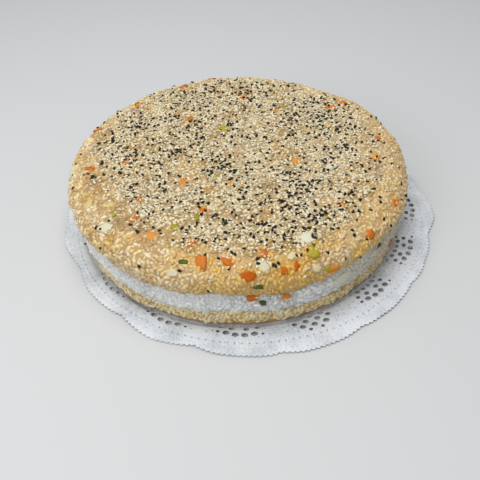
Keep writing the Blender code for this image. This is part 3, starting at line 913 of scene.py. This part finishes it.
# The grains of rice at the surface are whole and lie every way, half sunk in the mass that they belong to.
# They are packed as closely as they fit, and leave the vegetables bare.

GRAIN_LENGTH = 6.2 * MM
GRAIN_WIDTH = 3.5 * MM
GRAIN_SIDES = 6
GRAIN_RINGS = 5
MOST_GRAINS = 900000.0
GRAIN_KINDS = ((1.0, 1.0, 0.02), (0.82, 1.06, 0.0), (1.08, 0.96, 0.04))
SHOULDER = 126.0 * MM
FACE_DEPTH = 9.0 * MM
BARE_BELOW = 3.4 * MM
GRAIN_SIZES = (0.74, 1.18)
DEPTH_SPREAD = (0.2, 1.8)
DROPPED_FROM = 12.0 * MM
FURTHEST_DROP = 0.03
LEANS_WITH_BED = 0.55


def rice_grain(name, length, width, bend):
    """One cooked grain: a blunt, slightly bent spindle."""
    shape = bmesh.new()
    bmesh.ops.create_uvsphere(shape, u_segments=GRAIN_SIDES, v_segments=GRAIN_RINGS, radius=1.0)
    for vertex in shape.verts:
        along = vertex.co.z
        girth = (1.0 - abs(along) ** 2.6) ** 0.5 / max((1.0 - along * along) ** 0.5, 0.05)
        if abs(along) > 0.999:
            girth = 0.0
        vertex.co = Vector((0.5 * length * along, 0.5 * width * girth * vertex.co.x,
                            0.46 * width * girth * vertex.co.y - bend * width * along * along))
    return bpy.data.objects.new(name, mesh_from(shape, name))


def kinds_of(name, items):
    """A collection of the kinds that a strewing tree picks from. It stays out of the scene."""
    collection = bpy.data.collections.new(name)
    for item in items:
        collection.objects.link(item)
    return collection


def strewing_tree(name, laid_on_top):
    """Geometry Nodes that strew pieces over a bed, in its surface or on top of what already lies there."""
    inputs = (
        ("Bed", "Geometry"), ("Kinds", "Collection"), ("Spacing", "Float"), ("Most", "Float"),
        ("Seed", "Int"), ("Least size", "Float"), ("Most size", "Float"), ("Tilt", "Float"),
        ("Sink", "Float"), ("Share", "String"), ("Finish", "Material"), ("Rests on", "Object"))
    tree, given = open_tree(name, inputs, "Strewn")

    def scaled(vector, factor):
        return add_node(tree, "ShaderNodeVectorMath", {"operation": "SCALE"}, {0: vector, "Scale": factor})

    def drawn(kind, low, high, step):
        """A random value for each piece, from a draw of its own."""
        first, output = {"FLOAT_VECTOR": (0, 0), "FLOAT": (2, 1), "INT": (4, 2)}[kind]
        sockets = {first: low, first + 1: high, 8: given["Seed"] + step}
        return add_node(tree, "FunctionNodeRandomValue", {"data_type": kind}, sockets, output)

    sockets = {"Mesh": given["Bed"], "Distance Min": given["Spacing"], "Density Max": given["Most"],
               "Density Factor": named_value(tree, given["Share"]), "Seed": given["Seed"]}
    settings = {"distribute_method": "POISSON"}
    points = add_node(tree, "GeometryNodeDistributePointsOnFaces", settings, sockets)
    spread = points.socket.node
    normal, rotation = Wire(tree, spread.outputs["Normal"]), Wire(tree, spread.outputs["Rotation"])

    if laid_on_top:
        place = add_node(tree, "GeometryNodeInputPosition", {}, {})
        sockets = {0: place, 1: scaled(normal, DROPPED_FROM)}
        start = add_node(tree, "ShaderNodeVectorMath", {"operation": "ADD"}, sockets)
        target = add_node(tree, "GeometryNodeObjectInfo", {}, {"Object": given["Rests on"]}, "Geometry")
        sockets = {"Target Geometry": target, "Source Position": start,
                   "Ray Direction": scaled(normal, -1.0), "Ray Length": FURTHEST_DROP}
        hit = add_node(tree, "GeometryNodeRaycast", {}, sockets, "Hit Position")
        hit_normal = Wire(tree, hit.socket.node.outputs["Hit Normal"])
        sockets = {0: LEANS_WITH_BED, 4: hit_normal, 5: normal}
        leaning = add_node(tree, "ShaderNodeMix", {"data_type": "VECTOR"}, sockets, 1)
        points = add_node(tree, "GeometryNodeSetPosition", {}, {"Geometry": points, "Position": hit})
        rotation = add_node(tree, "FunctionNodeAlignRotationToVector", {"axis": "Z"}, {"Vector": leaning})

    depth = drawn("FLOAT", *DEPTH_SPREAD, 0.0)
    sunk = scaled(normal, depth * given["Sink"] * -1.0)
    points = add_node(tree, "GeometryNodeSetPosition", {}, {"Geometry": points, "Offset": sunk})
    back = given["Tilt"] * -1.0
    least = add_node(tree, "ShaderNodeCombineXYZ", {}, {0: back, 1: back, 2: 0.0})
    most = add_node(tree, "ShaderNodeCombineXYZ", {}, {0: given["Tilt"], 1: given["Tilt"], 2: 2.0 * math.pi})
    spin = drawn("FLOAT_VECTOR", least, most, 1.0)
    turned = add_node(tree, "FunctionNodeRotateRotation", {"rotation_space": "LOCAL"}, {0: rotation, 1: spin})
    size = drawn("FLOAT", given["Least size"], given["Most size"], 2.0)
    pick = drawn("INT", 0, 9, 3.0)
    tint = drawn("FLOAT", 0.0, 1.0, 4.0)
    sockets = {"Collection": given["Kinds"], "Separate Children": True, "Reset Children": True}
    pieces = add_node(tree, "GeometryNodeCollectionInfo", {}, sockets)
    sockets = {"Points": points, "Instance": pieces, "Pick Instance": True, "Instance Index": pick,
               "Rotation": turned, "Scale": size}
    strewn = add_node(tree, "GeometryNodeInstanceOnPoints", {}, sockets)
    settings = {"data_type": "FLOAT", "domain": "INSTANCE"}
    sockets = {"Geometry": strewn, "Name": "tint", "Value": tint}
    strewn = add_node(tree, "GeometryNodeStoreNamedAttribute", settings, sockets)
    strewn = add_node(tree, "GeometryNodeRealizeInstances", {}, {0: strewn})
    return close_tree(tree, strewn, given["Finish"])


def from_axis(place):
    return (place - cake_middle).xy.length


def clear_of_pieces(place, spread=1.0):
    return 0.0 if any((place - other).length < room * spread for other, room in pressed_in) else 1.0


def room_at_side(widest, lowest):
    """Room for grains over the face of a layer, and none where it is hidden or near the table."""

    def room(place):
        return clear_of_pieces(place) * (from_axis(place) > widest - FACE_DEPTH and place.z > lowest)

    return room


def room_on_top(place):
    return clear_of_pieces(place) * (from_axis(place) < SHOULDER and place.z > top_low + 0.5 * TOP_THICKNESS)


def room_on_shoulder(place):
    low_and_hidden = place.z < top_low + 0.5 * TOP_THICKNESS and from_axis(place) < TOP_RADIUS - FACE_DEPTH
    return clear_of_pieces(place) * (from_axis(place) >= SHOULDER and not low_and_hidden)


sink_in = strewing_tree("strew in", False)
grains = kinds_of("grains", [rice_grain("grain", GRAIN_LENGTH * long, GRAIN_WIDTH * wide, bend)
                             for long, wide, bend in GRAIN_KINDS])
seasoned_finish = rice_finish(
    "seasoned rice grains", (SEASONED_DEEP, SEASONED_TAN, SEASONED_PALE), seasoned_patches, 0.9, 0.7, 0.8)
# The top grains take the darker tints: painted shade among the sesame.
shaded_strewn_finish = rice_finish("seasoned rice in painted shade under sesame", PAINTED_SHADE_UNDER_SEEDS, seasoned_patches, 0.35, 0.0, 0.2)
plain_finish = rice_finish(
    "plain rice grains", (PLAIN_DEEP, PLAIN_GREY, PLAIN_WHITE), plain_patches, 1.0, 0.8, 0.0)
lowest_finish = rice_finish("lowest rice grains", LOWEST_TINTS, seasoned_patches, 0.6, 0.3, 0.0)
base_room = room_at_side(BASE_RADIUS, base_low + BARE_BELOW)
middle_room = room_at_side(MIDDLE_RADIUS, middle_low)

# Bed, where there is room, finish, slot and seed, then spacing and depth in millimetres, and the tilt.
GRAIN_BEDS = (
    ("base_grains", base_mass, base_room, lowest_finish, "seasoned_rice", 31, 2.6, 0.6, 0.3),
    ("middle_grains", middle_mass, middle_room, plain_finish, "plain_rice", 32, 2.6, 0.8, 0.2),
    ("side_grains", top_mass, room_on_shoulder, seasoned_finish, "seasoned_rice", 33, 2.65, 0.85, 0.38),
    ("top_grains", top_mass, room_on_top, shaded_strewn_finish, "seasoned_rice", 34, 3.0, 0.6, 0.2),
)
rice_laid = {}
for name, mass, room_rule, grain_finish, slot, seed, spacing, sink, tilt in GRAIN_BEDS:
    share_by(mass, name, room_rule)
    values = {"Kinds": grains, "Spacing": spacing * MM, "Most": MOST_GRAINS, "Seed": seed,
              "Least size": GRAIN_SIZES[0], "Most size": GRAIN_SIZES[1], "Tilt": tilt,
              "Sink": sink * MM, "Share": name, "Finish": grain_finish}
    laid = run_tree(sink_in, mass.data, values, name)
    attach(laid, "root")
    rice_laid[name] = laid


# Toasted sesame is strewn by hand over the top: a thick scatter of cream seeds and a thinner one of black
# seeds that fall in clusters. The rim and the side catch only a few.

CREAM_SEED = (3.1 * MM, 1.85 * MM, 1.2 * MM)
BLACK_SEED = (3.6 * MM, 2.2 * MM, 1.4 * MM)
SEED_SIDES = 6
SEED_RINGS = 3
CREAM_COLOUR = (0.78, 0.73, 0.54, 1.0)
CREAM_DEEP = (0.46, 0.37, 0.21, 1.0)
BLACK_COLOUR = (0.004, 0.003, 0.002, 1.0)
BLACK_WORN = (0.020, 0.013, 0.009, 1.0)
FADES_OVER = 34.0 * MM
BLACK_EVERYWHERE = 0.36
BLACK_STRAYS = 0.14
SEED_SIZES = (0.78, 1.18)
SEED_TILT = 0.3
SEED_RAISED = 0.2 * MM

# How far out the seeds lie thickly: degrees round the cake, then millimetres.
THICK_WITHIN = (
    (-180, 103.0), (-155, 95.0), (-125, 93.0), (-105, 100.0), (-85, 109.0), (-55, 108.0), (-30, 103.0),
    (0, 109.0), (40, 113.0), (90, 115.0), (140, 111.0))

# Across and back from the cake's middle, reach and weight: where black seeds fell thickly, in millimetres.
BLACK_CLUSTERS = (
    (-88, 62, 20, 0.55), (-45, 64, 16, 0.9), (83, 64, 22, 1.0), (58, 50, 15, 0.7), (-28, -70, 16, 0.3),
    (-12, -100, 14, 0.2), (30, -72, 18, 0.8), (62, -78, 24, 0.8), (-36, 20, 18, 0.8), (-92, 8, 20, 0.4),
    (-60, 4, 12, 0.5), (-12, -22, 18, 0.8), (45, -41, 13, 0.9), (2, 34, 16, 0.7), (18, 95, 18, 0.7),
    (-32, 92, 18, 0.6), (88, 18, 22, 0.6), (12, -92, 14, 0.3), (-128, -26, 10, 0.4), (60, -98, 16, 0.5))


def sesame_seed(name, length, width, thickness):
    """One seed: a flat drop, round at one end and pointed at the other."""
    shape = bmesh.new()
    bmesh.ops.create_uvsphere(shape, u_segments=SEED_SIDES, v_segments=SEED_RINGS, radius=1.0)
    for vertex in shape.verts:
        along = vertex.co.z
        girth = 1.1 - 0.38 * along
        vertex.co = Vector((0.5 * length * (along + 0.12), 0.5 * width * girth * vertex.co.x,
                            0.5 * thickness * girth * vertex.co.y))
    return bpy.data.objects.new(name, mesh_from(shape, name))


def seed_finish(name, full, shaded, roughness, specular):
    made, tree, shader = new_finish(name, Specular_IOR_Level=specular)
    skin = noise_on(tree, place_on(tree), 1100.0, 2.0)
    paleness = step_between(stored(tree, "tint") * 0.7 + skin * 0.6, 0.2, 0.95)
    feed(tree, mix_colours(paleness, shaded, full), shader, "Base Color")
    feed(tree, roughness + skin * 0.2, shader, "Roughness")
    bump_on(tree, shader, skin, 0.12 * MM, 0.5)
    return made


def strewn_share(place):
    """Full over the middle of the top, thin on the vegetables and almost nothing on the rim and the side."""
    if place.z < top_low + 0.3 * TOP_THICKNESS:
        return 0.0
    across, back = (place - cake_middle).xy
    fade = 1.0 - ease((from_axis(place) - around(THICK_WITHIN, math.atan2(back, across))) / FADES_OVER)
    drift = ease(0.5 + noise.noise(Vector((place.x, place.y, 0.0)) * 45.0))
    return ((0.35 + 0.65 * drift) * fade + 0.02) * (0.12 + 0.88 * clear_of_pieces(place, 1.5))


def cream_share(place):
    return min(1.0, strewn_share(place) * 1.25)


def black_share(place):
    from_middle = place - cake_middle
    weight = BLACK_EVERYWHERE
    for across, back, reach, strength in BLACK_CLUSTERS:
        gap = math.hypot(from_middle.x / MM - across, from_middle.y / MM - back)
        weight += strength * math.exp(-(gap / reach) ** 2)
    stray = BLACK_STRAYS if place.z > top_low + 0.45 * TOP_THICKNESS else 0.0
    return min(1.0, weight) * min(1.0, strewn_share(place) * 1.25 + stray)


def joined_copy(name, items):
    """One throwaway object of several meshes, for later pieces to rest on."""
    shape = bmesh.new()
    for item in items:
        shape.from_mesh(item.data)
    return link(bpy.data.objects.new(name, mesh_from(shape, name, smooth=False)))


share_by(top_mass, "cream", cream_share)
share_by(top_mass, "black", black_share)
lay_on = strewing_tree("strew on", True)
cream_finish = seed_finish("cream sesame", CREAM_COLOUR, CREAM_DEEP, 0.45, 0.5)
black_finish = seed_finish("black sesame", BLACK_WORN, BLACK_COLOUR, 0.5, 0.2)
SEED_BEDS = (
    ("cream_sesame", "cream", CREAM_SEED, cream_finish, 41, 1.25, 275000.0),
    ("black_sesame", "black", BLACK_SEED, black_finish, 42, 1.6, 50000.0),
)
resting = [top_mass, rice_laid["side_grains"], rice_laid["top_grains"]] + vegetables
for name, share, seed_size, sesame_finish, seed, spacing, most in SEED_BEDS:
    kinds = kinds_of(name, [sesame_seed(name + " seed", *seed_size)])
    surface = joined_copy(name + " bed", resting)
    values = {"Kinds": kinds, "Spacing": spacing * MM, "Most": most, "Seed": seed,
              "Least size": SEED_SIZES[0], "Most size": SEED_SIZES[1], "Tilt": SEED_TILT,
              "Sink": -SEED_RAISED, "Share": share, "Finish": sesame_finish, "Rests on": surface}
    laid = run_tree(lay_on, top_mass.data, values, name)
    bpy.data.objects.remove(surface, do_unlink=True)
    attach(laid, "root")
    resting.append(laid)


# The single grains and seeds that the strewing picked from aren't needed any more, so they go.

for collection in [c for c in bpy.data.collections if not c.users_dupli_group and c.name != "Collection"]:
    for item in list(collection.objects):
        if item.name not in bpy.context.scene.objects:
            bpy.data.objects.remove(item, do_unlink=True)

sizes = {"cad": cad_box, "visual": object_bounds()}
{name: [list(corner) for corner in box] for name, box in sizes.items()}
